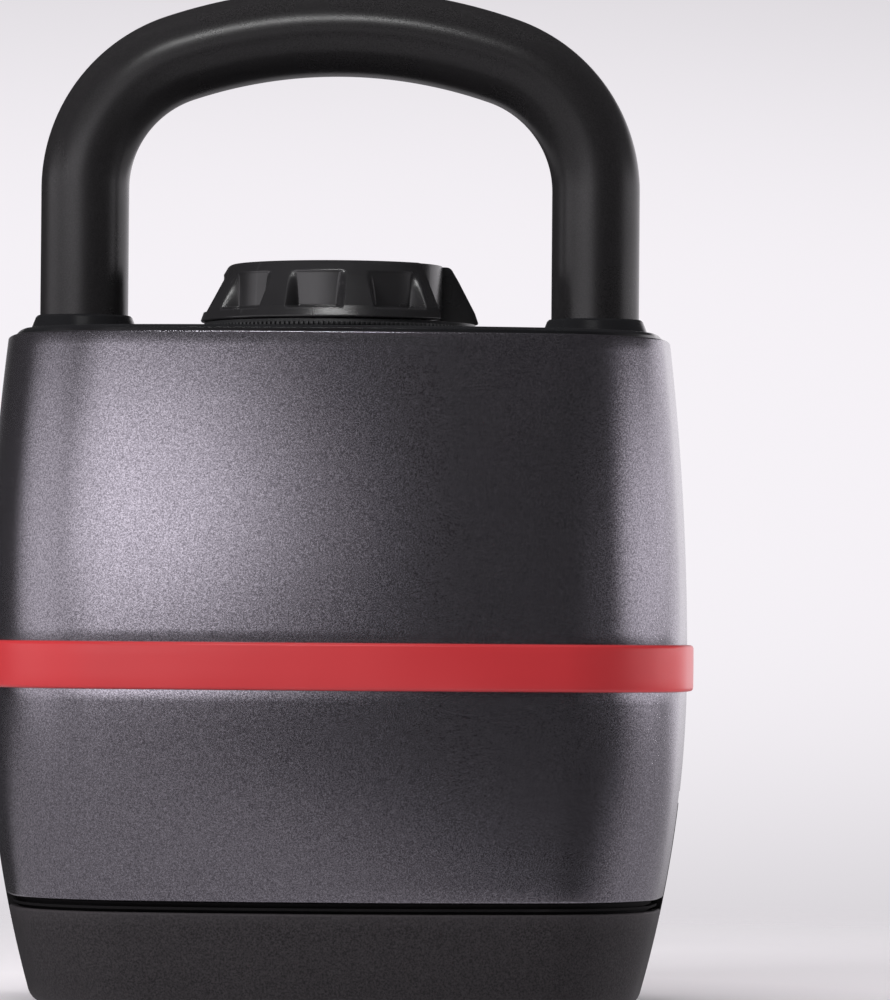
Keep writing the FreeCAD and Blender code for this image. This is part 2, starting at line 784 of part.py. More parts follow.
def crossing_slot(degrees):
    """A slot for the lock pin across the ring, turned about Z."""
    slot = block("lock_slot_end", "pin_radius + 0.2", "carrier_high + 1.3", "lock_ring_top + 1")
    slot.Placement.Rotation = FreeCAD.Rotation(FreeCAD.Vector(0, 0, 1), degrees)
    cos, sin = math.cos(math.radians(degrees)), math.sin(math.radians(degrees))
    x, y = "lock_slot_end", "(pin_radius + 0.2)"
    return at(slot, f"-{x} * {cos:.6f} + {y} * {sin:.6f}", f"-{x} * {sin:.6f} - {y} * {cos:.6f}",
              "carrier_high + 1.3")


def make_index():
    wheel = cut(rod("wheel_radius", "wheel_low", "wheel_high"),
                rod("shaft_radius + play / 2", "wheel_low - 1", "wheel_high + 1"))
    vees = [notch(size("wheel_radius"), size("notch_depth"), "wheel_low - 1", "wheel_high + 1",
                  math.radians(turn)) for turn in range(0, 360, int(size("step_angle")))]
    node("index_wheel", cut(wheel, fixed_shape(Part.Compound(vees))))
    ring = cut(rod("lock_ring_radius", "carrier_high", "lock_ring_top"),
               rod("lock_ring_bore", "carrier_high - 1", "lock_ring_top + 1"))
    slots = [crossing_slot(turn) for turn in range(0, 180, int(size("step_angle")))]
    holes = [rod("1.5", "carrier_high - 1", "lock_ring_top", x, y)
             for x, y in ring_of(3, "lock_screw_circle", 90)]
    node("lock_ring", cut(ring, *slots, *holes))
    node("lock_ring_screws", screws(ring_of(3, "lock_screw_circle", 90), "carrier_low", "11", "1.4",
                                    "3", "2.2"))


def make_detent():
    """A leaf spring on a post, whose bump drops into the index wheel's notches."""
    spot = ("-detent_x", "detent_y")
    post = fuse(rod("detent_radius", "carrier_high", "wheel_high + 2", *spot),
                rod("2.4", "carrier_low", "carrier_high", *spot))
    node("detent_post", post)
    bump = size("wheel_radius - notch_depth") + 0.35
    line = [(-28.3, 26.0), (-25.2, 3.2), (-bump, 0.0), (-25.2, -3.2), (-26.6, -15.0)]
    thick = size("leaf_thickness")
    points = [FreeCAD.Vector(x, y, size("wheel_low - 0.5")) for x, y in line]
    points += [FreeCAD.Vector(x - thick, y, size("wheel_low - 0.5")) for x, y in reversed(line)]
    face = Part.Face(Part.makePolygon(points + points[:1]))
    leaf = face.extrude(FreeCAD.Vector(0, 0, size("wheel_high - wheel_low") + 1))
    node("detent_spring", fixed_shape(leaf))


def make_lock():
    node("lock_rod", cut(rod("rod_radius", "rod_low", "rod_high"), pin("pin_radius + play / 2")))
    node("lock_pin", pin("pin_radius"))
    body = doc.addObject("PartDesign::Body", "lock_spring_body")
    wire = sketch_on(body, "spring_wire", "XZ_Plane")
    start = "rod_high + spring_wire"
    wire.addGeometry(Part.Circle(FreeCAD.Vector(size("spring_radius"), size(start), 0),
                                 FreeCAD.Vector(0, 0, 1), size("spring_wire")), False)
    fix_point(wire, 0, 3, "spring_radius", start)
    index = wire.addConstraint(Sketcher.Constraint("Radius", 0, size("spring_wire")))
    wire.setExpression(f"Constraints[{index}]", linked("spring_wire"))
    doc.recompute()
    coil = body.newObject("PartDesign::AdditiveHelix", "spring_coil")
    coil.Profile = wire
    coil.ReferenceAxis = (wire, ["V_Axis"])
    coil.Mode = 0
    rise = "(shaft_bore_top - rod_high - 2 * spring_wire)"
    bind(coil, Pitch=f"{rise} / spring_turns", Height=rise)
    body.Tip = coil
    node("lock_spring", body)


def pin(radius):
    """The cross pin, along X through the rod."""
    piece = bind(unnamed("Part::Cylinder"), Radius=radius, Height="2 * pin_half")
    piece.Placement.Rotation = FreeCAD.Rotation(FreeCAD.Vector(0, 1, 0), 90)
    return at(piece, "-pin_half", "0", "pin_level")


# ---------------------------------------------------------------- dial

def dial_side(inset):
    """The dial's outline in the XZ plane: one arc up the side and one over the top edge."""
    def spot(radius, level):
        return FreeCAD.Vector(size(radius) - inset, 0, size(level))
    low, waist = spot("dial_radius", "dial_low"), spot("dial_waist", "dial_waist_level")
    neck = spot("dial_neck", "dial_neck_level")
    top = spot("dial_shoulder", "dial_high")
    over = FreeCAD.Vector((neck.x + top.x) / 2 + 0.75, 0, (neck.z + top.z) / 2 + 0.75)
    return low, neck, top, [Part.Arc(low, waist, neck).toShape(), Part.Arc(neck, over, top).toShape()]


def revolve_side(inset):
    low, _, top, curves = dial_side(inset)
    axis_top, axis_low = FreeCAD.Vector(0, 0, top.z), FreeCAD.Vector(0, 0, low.z)
    edges = curves + [Part.makeLine(top, axis_top), Part.makeLine(axis_top, axis_low),
                      Part.makeLine(axis_low, low)]
    face = Part.Face(Part.Wire(edges))
    return face.revolve(FreeCAD.Vector(), FreeCAD.Vector(0, 0, 1), 360)


def flute_block(azimuth):
    """A rounded block that points outwards from the axis."""
    half, corner = size("flute_width") / 2, size("flute_corner")
    low, high = size("flute_low"), size("flute_high")
    base = Part.makeBox(size("dial_radius") - 20, 2 * half, high - low,
                        FreeCAD.Vector(24, -half, low))
    along = [edge for edge in base.Edges
             if abs(edge.tangentAt(edge.FirstParameter).x) > 0.99]
    rounded = base.makeFillet(corner, along)
    rounded.rotate(FreeCAD.Vector(), FreeCAD.Vector(0, 0, 1), azimuth - 90.0)
    return rounded


def make_dial():
    outer = revolve_side(0.0)
    floor = revolve_side(size("flute_depth"))
    for number in range(4):
        swing = size("flute_first") + number * size("flute_step")
        for side in (-1, 1):
            block_here = flute_block(size("window_centre") + side * swing)
            outer = outer.cut(block_here.cut(floor))
    blank = fixed_shape(outer)
    window_start = size("window_centre - window_half") - 90.0
    window = cut(sector("reach", "dial_low - 1", "dial_high + 1", window_start,
                        size("2 * window_half")),
                 rod("window_wall", "dial_low - 1", "dial_high + 1"))
    cavity = cut(rod("dial_cavity", "dial_low - 1", "dial_neck_level - 1"),
                 rod("dial_hub", "dial_low - 1", "dial_neck_level - 1"))
    dial = cut(blank, window, cavity,
               rod("shaft_radius + play / 2", "dial_low - 1", "shaft_high"),
               rod("2", "shaft_high - 1", "dial_high"),
               rod("5", "shaft_high + 2.5", "dial_high"),
               rod("cap_radius + play", "cap_low", "dial_high + 1"))
    node("dial", dial)
    node("dial_cap", turned("dial_cap", [
        ("0", "cap_low"), ("cap_radius", "cap_low"), ("cap_radius", "dial_high - 0.5"),
        ("cap_radius - 0.6", "dial_high"), ("0", "dial_high")]))
    node("dial_screw", screw("0", "0", "shaft_high + 2.5", "16", "1.7", "4.4", "3.4", up=False))
    node("number_ring", bored("number_ring", "dial_radius", "dial_cavity + 1", "cover_top",
                              "ring_top"))


# ---------------------------------------------------------------- build and export

def check(thing):
    if any(word in thing.State for word in ("Invalid", "Error")):
        raise RuntimeError(f"{thing.Label}: {thing.State}")


make_tray()
make_rim()
make_tray_fittings()
for plate in range(1, 6):
    make_plate(plate)
make_lower_shell()
make_upper_shell()
make_band()
make_top_cover()
make_shell_fasteners()
make_handle()
make_carrier()
make_bushes()
make_shaft()
make_discs()
make_index()
make_detent()
make_lock()
make_dial()
doc.recompute()

for thing in doc.Objects:
    check(thing)
os.makedirs("parts", exist_ok=True)
for name, thing in nodes.items():
    shape = thing.Shape
    if shape.isNull() or not shape.isValid() or not shape.Solids:
        raise RuntimeError(name + " has no valid solid")
    shape.exportStep(f"parts/{name}.step")
    print(f"{name:20s} {len(shape.Solids)} solids {shape.Volume / 1000:9.2f} cm3")
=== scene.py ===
"""Looks of the adjustable kettlebell: its visible shells, handle, dial and materials, built around
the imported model. Metres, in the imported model's own frame: X width, -Y front, Z up."""
import bmesh
import bpy
import json
import math
import numpy as np
from mathutils import Matrix, Vector


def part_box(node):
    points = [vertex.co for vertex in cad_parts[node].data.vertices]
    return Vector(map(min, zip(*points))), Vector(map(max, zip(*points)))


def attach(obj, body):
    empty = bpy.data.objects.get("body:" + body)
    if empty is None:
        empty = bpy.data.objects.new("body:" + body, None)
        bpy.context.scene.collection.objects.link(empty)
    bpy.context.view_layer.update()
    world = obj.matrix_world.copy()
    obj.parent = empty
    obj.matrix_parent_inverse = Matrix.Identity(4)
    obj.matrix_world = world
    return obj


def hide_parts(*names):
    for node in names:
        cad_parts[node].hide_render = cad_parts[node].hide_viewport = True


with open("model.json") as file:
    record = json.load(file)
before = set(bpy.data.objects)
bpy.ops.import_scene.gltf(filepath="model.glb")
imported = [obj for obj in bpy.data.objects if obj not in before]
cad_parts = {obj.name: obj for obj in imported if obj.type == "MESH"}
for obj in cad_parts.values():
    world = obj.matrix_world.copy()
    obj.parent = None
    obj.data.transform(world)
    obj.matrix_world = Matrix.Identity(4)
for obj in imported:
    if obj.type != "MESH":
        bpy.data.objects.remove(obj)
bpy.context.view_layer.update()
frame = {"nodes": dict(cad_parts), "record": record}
nodes = frame["nodes"]

MM = 0.001


def top(node):
    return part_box(node)[1].z


def bottom(node):
    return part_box(node)[0].z


# ---------------------------------------------------------------- the form, read from the frame

HALF_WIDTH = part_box("upper_shell")[1].x
HALF_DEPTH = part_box("upper_shell")[1].y
SIDE_RADIUS, FRONT_RADIUS, CORNER_RADIUS = 237 * MM, 350 * MM, 47 * MM
UPPER_SWEEP, LOWER_SWEEP = 850 * MM, 374 * MM
BELLY = (top("bumper_band") + bottom("bumper_band")) / 2
WALL = 3 * MM
CORNER_STEPS, SIDE_STEPS, FRONT_STEPS, ARC_STEPS = 30, 8, 14, 5


def half_width_at(level):
    """Half the form's width at a level: a flat arc above the belly, a rounder one below."""
    rise = level - BELLY
    sweep = UPPER_SWEEP if rise > 0 else LOWER_SWEEP
    return HALF_WIDTH - (sweep - math.sqrt(sweep * sweep - rise * rise))


def oval_ring(level, offset):
    """Points round the form at a level, grown by an offset: eight tangent arcs."""
    half_width = half_width_at(level)
    scale = half_width / HALF_WIDTH
    a, b = half_width + offset, HALF_DEPTH * scale + offset
    side = SIDE_RADIUS * scale + offset
    front = FRONT_RADIUS * scale + offset
    corner = CORNER_RADIUS * scale + offset
    side_x, front_y = a - side, b - front
    to_side, to_front = side - corner, front - corner
    span = math.hypot(side_x, front_y)
    along = (to_side ** 2 - to_front ** 2 + span ** 2) / (2 * span)
    across = math.sqrt(to_side ** 2 - along ** 2)
    ex, ey = -side_x / span, front_y / span
    cx, cy = side_x + along * ex - across * ey, along * ey + across * ex
    low = math.atan2(cy, cx - side_x)
    high = math.atan2(cy - front_y, cx)
    quarter = [(side_x + side * math.cos(t), side * math.sin(t))
               for t in np.linspace(0, low, SIDE_STEPS, endpoint=False)]
    quarter += [(cx + corner * math.cos(t), cy + corner * math.sin(t))
                for t in np.linspace(low, high, CORNER_STEPS, endpoint=False)]
    quarter += [(front * math.cos(t), front_y + front * math.sin(t))
                for t in np.linspace(high, math.pi / 2, FRONT_STEPS + 1)]
    right_back = np.array(quarter)
    left_back = right_back[-2::-1] * (-1, 1)
    left_front = right_back[1:] * (-1, -1)
    right_front = right_back[-2:0:-1] * (1, -1)
    outline = np.vstack([right_back, left_back, left_front, right_front])
    return np.column_stack([outline, np.full(len(outline), level)])


def circle_ring(radius, level, steps=144):
    angle = np.linspace(0, 2 * math.pi, steps, endpoint=False)
    return np.column_stack([radius * np.cos(angle), radius * np.sin(angle), np.full(steps, level)])


# ---------------------------------------------------------------- mesh tools

def rounded(corners, longest=4 * MM, closed=True):
    """An outline of (u, v, radius) corners, with its corners rounded and long sides divided."""
    points, count = [], len(corners)
    for index, (u, v, radius) in enumerate(corners):
        here = np.array((u, v))
        at_end = not closed and index in (0, count - 1)
        if radius <= 0 or at_end:
            points.append(here)
            continue
        before = np.array(corners[index - 1][:2]) - here
        after = np.array(corners[(index + 1) % count][:2]) - here
        before, after = before / np.linalg.norm(before), after / np.linalg.norm(after)
        half = math.acos(np.clip(before @ after, -1, 1)) / 2
        middle = before + after
        middle /= np.linalg.norm(middle)
        centre = here + middle * radius / math.sin(half)
        start = here + before * radius / math.tan(half) - centre
        end = here + after * radius / math.tan(half) - centre
        sweep = math.atan2(start[0] * end[1] - start[1] * end[0], start @ end)
        for step in range(ARC_STEPS + 1):
            t = sweep * step / ARC_STEPS
            turn = np.array(((math.cos(t), -math.sin(t)), (math.sin(t), math.cos(t))))
            points.append(centre + turn @ start)
    divided = []
    pairs = zip(points, points[1:] + points[:1]) if closed else zip(points, points[1:])
    for first, second in pairs:
        steps = max(1, math.ceil(np.linalg.norm(second - first) / longest))
        divided += [first + (second - first) * step / steps for step in range(steps)]
    if not closed:
        divided.append(points[-1])
    return divided


def new_piece(name, verts, faces):
    mesh = bpy.data.meshes.new(name)
    mesh.from_pydata([tuple(v) for v in verts], [], faces)
    mesh.validate()
    piece = bpy.data.objects.new(name, mesh)
    bpy.context.scene.collection.objects.link(piece)
    return piece


def smooth(piece, angle=32):
    """Smooth shading, with edges kept sharp above an angle, and normals facing outwards."""
    work = bmesh.new()
    work.from_mesh(piece.data)
    bmesh.ops.recalc_face_normals(work, faces=work.faces)
    limit = math.radians(angle)
    for face in work.faces:
        face.smooth = True
    for edge in work.edges:
        edge.smooth = len(edge.link_faces) == 2 and edge.calc_face_angle(0) < limit
    work.to_mesh(piece.data)
    work.free()
    return piece


def skin(name, rings, closed):
    """A surface through rings of equal length. Closed: the last ring meets the first one.
    Open: flat faces close both ends."""
    count, width = len(rings), len(rings[0])
    faces = []
    for row in range(count if closed else count - 1):
        low, high = row * width, ((row + 1) % count) * width
        for column in range(width):
            right = (column + 1) % width
            faces.append((low + column, low + right, high + right, high + column))
    if not closed:
        faces.append(tuple(range(width - 1, -1, -1)))
        faces.append(tuple((count - 1) * width + column for column in range(width)))
    return new_piece(name, np.vstack(rings), faces)


def oval_piece(name, corners, closed=True):
    """A piece swept round the form. Its corners are (level, offset, rounding)."""
    rings = [oval_ring(level, offset) for level, offset in rounded(corners, closed=closed)]
    return skin(name, rings, closed)


def turned_piece(name, corners, closed=False, steps=144, centre=(0, 0)):
    """A piece turned about an upright axis. Its corners are (radius, level, rounding)."""
    rings = [circle_ring(radius, level, steps)
             for radius, level in rounded(corners, closed=closed)]
    piece = skin(name, rings, closed)
    piece.data.transform(Matrix.Translation((*centre, 0)))
    return piece


def block(name, low, high):
    x0, y0, z0 = low
    x1, y1, z1 = high
    verts = [(x, y, z) for z in (z0, z1) for x, y in ((x0, y0), (x1, y0), (x1, y1), (x0, y1))]
    faces = [(3, 2, 1, 0), (4, 5, 6, 7), (0, 1, 5, 4), (1, 2, 6, 5), (2, 3, 7, 6), (3, 0, 4, 7)]
    return new_piece(name, verts, faces)


def shape_with(piece, tools, operation="DIFFERENCE"):
    """Cuts, joins or trims a piece with other pieces, which are then removed."""
    for tool in tools:
        smooth(tool)
        change = piece.modifiers.new("shape", "BOOLEAN")
        change.operation = operation
        change.solver = "EXACT"
        change.object = tool
    shapes = bpy.context.evaluated_depsgraph_get()
    shapes.update()
    mesh = bpy.data.meshes.new_from_object(piece.evaluated_get(shapes))
    piece.modifiers.clear()
    piece.data = mesh
    for tool in tools:
        bpy.data.objects.remove(tool)
    return piece


def settle(piece, body, slot, material, *replaced, angle=32):
    """Finishes a piece: shading, body, material and the CAD nodes it stands for. Its slot is not
    used.
    """
    smooth(piece, angle)
    piece.data.materials.clear()
    piece.data.materials.append(material)
    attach(piece, body)
    if replaced:
        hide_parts(*replaced)
    return piece


# ---------------------------------------------------------------- materials

class Finish:
    """A Principled material whose colour, roughness and bump vary over the surface."""

    def __init__(self, name, **sockets):
        self.material = bpy.data.materials.new(name)
        self.material.use_nodes = True
        self.tree = self.material.node_tree
        self.shader = self.tree.nodes["Principled BSDF"]
        for socket, value in sockets.items():
            self.shader.inputs[socket.replace("_", " ")].default_value = value
        self.place = self.add("ShaderNodeTexCoord").outputs["Object"]
        self.bumps = None

    def add(self, kind, **settings):
        item = self.tree.nodes.new(kind)
        for setting, value in settings.items():
            setattr(item, setting, value)
        return item

    def noise(self, scale, detail=3.0, roughness=0.55, stretch=None):
        source = self.place
        if stretch:
            mapping = self.add("ShaderNodeMapping")
            mapping.inputs["Scale"].default_value = stretch
            self.tree.links.new(source, mapping.inputs["Vector"])
            source = mapping.outputs["Vector"]
        texture = self.add("ShaderNodeTexNoise")
        texture.inputs["Scale"].default_value = scale
        texture.inputs["Detail"].default_value = detail
        texture.inputs["Roughness"].default_value = roughness
        self.tree.links.new(source, texture.inputs["Vector"])
        return texture.outputs["Fac"]

    def remap(self, source, low, high, to_low, to_high):
        ramp = self.add("ShaderNodeMapRange")
        for name, value in zip(("From Min", "From Max", "To Min", "To Max"),
                               (low, high, to_low, to_high)):
            ramp.inputs[name].default_value = value
        self.tree.links.new(source, ramp.inputs["Value"])
        return ramp.outputs["Result"]

    def blend(self, factor, first, second):
        """A colour between two, where each may be a colour or another blend's output."""
        mix = self.add("ShaderNodeMix", data_type="RGBA")
        self.tree.links.new(factor, mix.inputs["Factor"])
        for socket, value in ((mix.inputs[6], first), (mix.inputs[7], second)):
            if isinstance(value, tuple):
                socket.default_value = (*value, 1.0)
            else:
                self.tree.links.new(value, socket)
        return mix.outputs[2]

    def colour(self, output):
        self.tree.links.new(output, self.shader.inputs["Base Color"])
        return self

    def roughness(self, source, low, high):
        varied = self.remap(source, 0.3, 0.7, low, high)
        self.tree.links.new(varied, self.shader.inputs["Roughness"])
        return self

    def bump(self, source, height, strength=1.0):
        """Adds a relief of a real height in metres. Later ones lie on top of earlier ones."""
        node = self.add("ShaderNodeBump")
        node.inputs["Strength"].default_value = strength
        node.inputs["Distance"].default_value = height
        self.tree.links.new(source, node.inputs["Height"])
        if self.bumps:
            self.tree.links.new(self.bumps, node.inputs["Normal"])
        self.bumps = node.outputs["Normal"]
        self.tree.links.new(self.bumps, self.shader.inputs["Normal"])
        return self

    def edges(self):
        """High along outward edges, for a little wear and a painted highlight."""
        point = self.add("ShaderNodeNewGeometry").outputs["Pointiness"]
        return self.remap(point, 0.505, 0.56, 0.0, 1.0)


def metallic_shell():
    finish = Finish("shell_purple_grey", Metallic=0.94, Specular_IOR_Level=0.5)
    speckle = finish.noise(2300, 2.0, 0.7)
    cloud = finish.noise(9, 3.0)
    fleck = finish.blend(finish.remap(speckle, 0.36, 0.64, 0, 1),
                         (0.150, 0.140, 0.163), (0.480, 0.456, 0.508))
    tone = finish.blend(finish.remap(cloud, 0.3, 0.7, 0, 0.2), fleck, (0.28, 0.266, 0.296))
    finish.colour(tone).roughness(cloud, 0.19, 0.23)
    finish.bump(speckle, 0.05 * MM, 0.35)
    return finish.material


def red_band():
    finish = Finish("band_red", Specular_IOR_Level=0.55)
    cloud = finish.noise(14, 2.0)
    finish.colour(finish.blend(finish.remap(cloud, 0.3, 0.7, 0, 1),
                               (0.52, 0.034, 0.040), (0.58, 0.046, 0.052)))
    finish.roughness(cloud, 0.28, 0.36).bump(finish.noise(1500, 2.0), 0.03 * MM, 0.3)
    return finish.material


def black_plastic(name, base, rough_low, rough_high, grain, shine=0.5):
    """Black moulded plastic, from polished to satin, with slightly lighter edges: a little wear and
    a painted highlight.
    """
    finish = Finish(name, Specular_IOR_Level=shine)
    cloud = finish.noise(30, 3.0)
    light = tuple(channel * 1.6 for channel in base)
    edge = tuple(channel * 2.2 for channel in base)
    body = finish.blend(finish.remap(cloud, 0.3, 0.7, 0, 1), base, light)
    # Lighter along outward edges: partly wear, partly a painted highlight.
    finish.colour(finish.blend(finish.edges(), body, edge))
    finish.roughness(cloud, rough_low, rough_high)
    finish.bump(finish.noise(2200, 2.0), grain, 0.5)
    return finish.material


def powder_coat():
    finish = Finish("handle_powder_coat", Specular_IOR_Level=0.5)
    cloud = finish.noise(22, 3.0)
    grain = finish.noise(2400, 2.0)
    body = finish.blend(finish.remap(grain, 0.35, 0.65, 0, 1), (0.012, 0.0115, 0.012),
                        (0.024, 0.0225, 0.024))
    finish.colour(body).roughness(cloud, 0.24, 0.32)
    finish.bump(finish.noise(420, 2.0), 0.03 * MM, 0.25).bump(grain, 0.02 * MM, 0.3)
    return finish.material


def moulded_grey(name, dark, light, rough_low=0.55, rough_high=0.66, shine=0.25):
    finish = Finish(name, Specular_IOR_Level=shine)
    grain = finish.noise(1600, 2.0, 0.7)
    cloud = finish.noise(12, 3.0)
    body = finish.blend(finish.remap(grain, 0.35, 0.65, 0, 1), dark, light)
    # A lighter colour for outward edges: partly wear, partly a painted highlight.
    edge = tuple(channel * 1.5 for channel in light)
    finish.colour(finish.blend(finish.edges(), body, edge))
    finish.roughness(cloud, rough_low, rough_high)
    finish.bump(grain, 0.09 * MM, 0.6)
    return finish.material


def metal(name, dark, light, rough_low, rough_high, stretch=None):
    finish = Finish(name, Metallic=1.0)
    streak = finish.noise(500, 3.0, 0.6, stretch)
    body = finish.blend(finish.remap(streak, 0.3, 0.7, 0, 1), dark, light)
    finish.colour(body).roughness(streak, rough_low, rough_high)
    finish.bump(streak, 0.02 * MM, 0.4)
    return finish.material


def cast_iron():
    finish = Finish("cast_iron", Metallic=0.7)
    sand = finish.noise(900, 4.0, 0.65)
    stain = finish.noise(40, 4.0)
    body = finish.blend(finish.remap(sand, 0.3, 0.7, 0, 1), (0.10, 0.10, 0.105),
                        (0.22, 0.215, 0.21))
    rust = finish.remap(stain, 0.58, 0.78, 0, 0.35)
    finish.colour(finish.blend(rust, body, (0.16, 0.09, 0.055))).roughness(stain, 0.5, 0.75)
    finish.bump(sand, 0.25 * MM, 0.7)
    return finish.material


def soft_rubber():
    finish = Finish("foot_rubber", Specular_IOR_Level=0.25)
    grain = finish.noise(1200, 3.0)
    body = finish.blend(finish.remap(grain, 0.3, 0.7, 0, 1), (0.018, 0.018, 0.018),
                        (0.036, 0.036, 0.036))
    finish.colour(body).roughness(grain, 0.75, 0.9).bump(grain, 0.1 * MM, 0.6)
    return finish.material


def number_paint():
    finish = Finish("number_paint", Specular_IOR_Level=0.4)
    grain = finish.noise(1500, 2.0)
    finish.colour(finish.blend(finish.remap(grain, 0.3, 0.7, 0, 1), (0.74, 0.74, 0.73),
                               (0.84, 0.84, 0.83)))
    finish.roughness(grain, 0.4, 0.55)
    return finish.material


SHELL = metallic_shell()
RED = red_band()
COVER_BLACK = black_plastic("cover_gloss_black", (0.010, 0.010, 0.011), 0.14, 0.22, 0.02 * MM)
DIAL_BLACK = black_plastic("dial_satin_black", (0.014, 0.0135, 0.0145), 0.24, 0.32, 0.05 * MM,
                           shine=0.9)
RING_BLACK = black_plastic("ring_black", (0.016, 0.016, 0.017), 0.30, 0.40, 0.04 * MM)
HANDLE_COAT = powder_coat()
TRAY_GREY = moulded_grey("tray_dark_grey", (0.015, 0.0136, 0.015), (0.042, 0.038, 0.041))
# Almost black and almost without reflection: painted shade for the rim seen in the gap under the
# shell, and for the ears' narrow sides.
RIM_PAINTED_SHADE_BLACK = moulded_grey("rim_painted_shade_black", (0.006, 0.006, 0.0065), (0.010, 0.0095, 0.010),
                         0.75, 0.85, shine=0.02)
PLATE_BLACK = moulded_grey("plate_cover_black", (0.014, 0.014, 0.0145), (0.024, 0.024, 0.025))
STEEL = metal("zinc_steel", (0.42, 0.42, 0.43), (0.60, 0.60, 0.61), 0.26, 0.42, (1, 1, 0.06))
BRONZE = metal("bronze", (0.46, 0.33, 0.17), (0.60, 0.45, 0.25), 0.3, 0.45)
IRON = cast_iron()
RUBBER = soft_rubber()
PAINT = number_paint()

SLOT_LOOKS = {
    "shell_plastic": SHELL, "band_plastic": RED, "black_gloss": COVER_BLACK,
    "dial_black": DIAL_BLACK, "base_plastic": TRAY_GREY, "handle_steel": HANDLE_COAT,
    "steel": STEEL, "iron": IRON, "plate_plastic": PLATE_BLACK, "bronze": BRONZE,
    "rubber": RUBBER,
}


def dress_cad():
    """Gives every CAD node the material of its slot."""
    for part in frame["record"]["subparts"]:
        slots = nodes[part["node"]].material_slots
        for place in slots:
            place.material = SLOT_LOOKS[part["material_slot"]]
    # The rim seen in the gap gets the painted-shade black instead of its slot's grey.
    nodes["base_rim"].material_slots[0].material = RIM_PAINTED_SHADE_BLACK


# ---------------------------------------------------------------- shells, band and tray

SLOT_TOP = 68 * MM            # the lower shell's openings for the tray's ears end here
TRAY_EDGE = 31.7 * MM
EAR_HALF = 22 * MM            # half an ear's width, front to back
MIDDLE = 34 * MM              # how far in a deck or lid is swept before a flat face closes it
LEG_X = (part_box("left_collar")[0].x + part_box("left_collar")[1].x) / 2
TUBE_RADIUS = 13.75 * MM
EAR_GAP = 0.3 * MM


def side_blocks(name, half, low, high):
    """One block on each side of the form, to cut the ears' openings."""
    reach = HALF_WIDTH + 20 * MM
    return [block(name + side, (min(x, x / 2), -half, low), (max(x, x / 2), half, high))
            for side, x in (("_right", reach), ("_left", -reach))]


def make_upper_shell():
    """The upper housing with its deck, open for the handle's legs and the dial's shaft."""
    low, high, deck = BELLY, top("upper_shell"), bottom("top_cover")
    band_high = top("bumper_band")
    shell = oval_piece("upper_housing", [
        (deck - 3.5 * MM, -MIDDLE, 0), (deck - 3.5 * MM, -WALL, 1 * MM), (low, -WALL, 0),
        (low, -1 * MM, 0), (band_high - 0.2 * MM, -1 * MM, 0), (band_high - 0.2 * MM, 0, 0.2 * MM),
        (high, 0, 0.5 * MM), (high, -2 * MM, 0.4 * MM), (deck, -2 * MM, 0), (deck, -MIDDLE, 0)],
        closed=False)
    spots = [(x, 0, TUBE_RADIUS + 0.3 * MM) for x in (-LEG_X, LEG_X)] + [(0, 0, 12 * MM)]
    settle(shape_with(shell, bores(spots, deck - 8 * MM, deck + 5 * MM)), "kettlebell",
           "shell_plastic", SHELL, "upper_shell")


def bores(spots, low, high):
    """Upright round tools at (x, y, radius) spots."""
    return [turned_piece(f"bore_{index}", [(radius, low, 0), (radius, high, 0)], steps=96,
                         centre=(x, y))
            for index, (x, y, radius) in enumerate(spots)]


def make_lower_shell():
    """The lower housing, open at both sides for the tray's ears."""
    low, band_low = bottom("lower_shell"), bottom("bumper_band")
    shell = oval_piece("lower_housing", [
        (low, 0, 0.7 * MM), (band_low + 0.2 * MM, 0, 0.2 * MM), (band_low + 0.2 * MM, -1 * MM, 0),
        (BELLY, -1 * MM, 0), (BELLY, -WALL, 0), (low + WALL, -WALL, 1 * MM),
        (low + WALL, -8 * MM, 0.5 * MM), (low, -8 * MM, 0.5 * MM)])
    slots = side_blocks("slot", EAR_HALF + EAR_GAP, low - 5 * MM, SLOT_TOP)
    inside = -WALL - EAR_GAP
    keep = oval_piece("keep", [(-5 * MM, inside, 0), (SLOT_TOP + 10 * MM, inside, 0)],
                      closed=False)
    slots = [shape_with(slot, [copy_of(keep)]) for slot in slots]
    bpy.data.objects.remove(keep)
    settle(shape_with(shell, slots), "kettlebell", "shell_plastic", SHELL, "lower_shell")


def copy_of(piece):
    twin = piece.copy()
    twin.data = piece.data.copy()
    bpy.context.scene.collection.objects.link(twin)
    return twin


def make_band():
    low, high = bottom("bumper_band"), top("bumper_band")
    band = oval_piece("red_band", [
        (low, -0.9 * MM, 0), (low, 2 * MM, 1.1 * MM), (high, 2 * MM, 1.1 * MM),
        (high, -0.9 * MM, 0)])
    settle(band, "kettlebell", "band_plastic", RED, "bumper_band")


def make_tray():
    """The tray, and the two ears that stand up from its sides in a darker black, which is painted
    shade.
    """
    ground, edge, ear_top = bottom("base_tray"), TRAY_EDGE, top("base_tray")
    floor = ground + 5 * MM
    tray = oval_piece("tray", [
        (ground, -MIDDLE, 0), (ground, 0, 3.4 * MM), (edge, 0, 0.8 * MM), (edge, -WALL, 0.8 * MM),
        (floor, -WALL, 1 * MM), (floor, -MIDDLE, 0)], closed=False)
    settle(tray, "base", "base_plastic", TRAY_GREY, "base_tray")
    wall = oval_piece("tray_ears", [(edge - 2 * MM, 0, 0), (ear_top, 0, 0.5 * MM),
                                    (ear_top, -WALL, 0.5 * MM), (edge - 2 * MM, -WALL, 0)])
    ears = shape_with(wall, [rounded_ears(edge - 0.6 * MM, ear_top)], "INTERSECT")
    # The ears take the painted-shade black.
    settle(ears, "base", "base_plastic", RIM_PAINTED_SHADE_BLACK)


